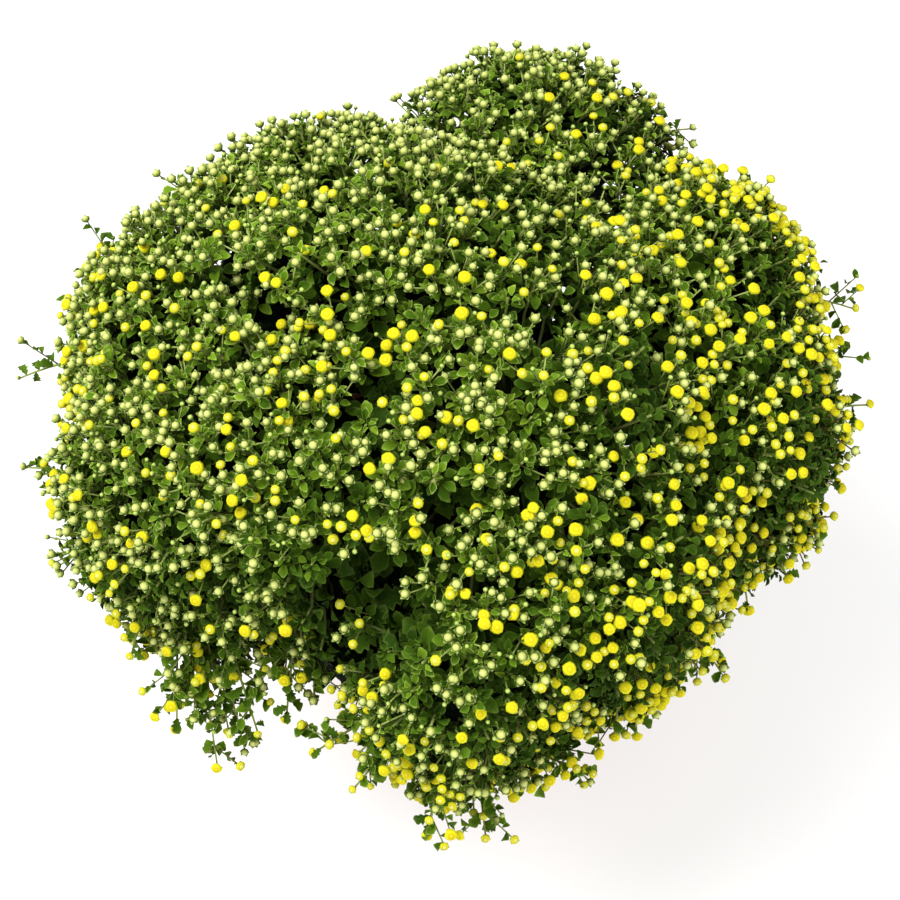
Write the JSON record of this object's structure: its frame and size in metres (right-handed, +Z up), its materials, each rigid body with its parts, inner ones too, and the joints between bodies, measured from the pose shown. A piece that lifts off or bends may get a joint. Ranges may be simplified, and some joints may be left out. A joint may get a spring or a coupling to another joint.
{
  "type": "pot chrysanthemum",
  "caption": "Cushion chrysanthemum in bud and early bloom: leafy plants grown into one low dome over a plain tapered clay pot.",
  "frame": {"origin": "centre of the pot's flat base, on the surface that it stands on", "axes": "+Z up along the pot's axis, -Y towards the side that the picture was taken from, +X to that viewer's right"},
  "size_m": [0.6079, 0.5853, 0.5359],
  "materials": {
    "pot": "unglazed terracotta, matte",
    "soil": "moist peat and bark, matte",
    "foliage": "green leaves and buds, satin"
  },
  "bodies": {
    "root": {"pot": "pot", "soil": "soil", "plant_back": "foliage", "plant_left_back": "foliage", "plant_left_front": "foliage", "plant_middle": "foliage", "plant_right": "foliage", "plant_front": "foliage"}
  },
  "joints": []
}
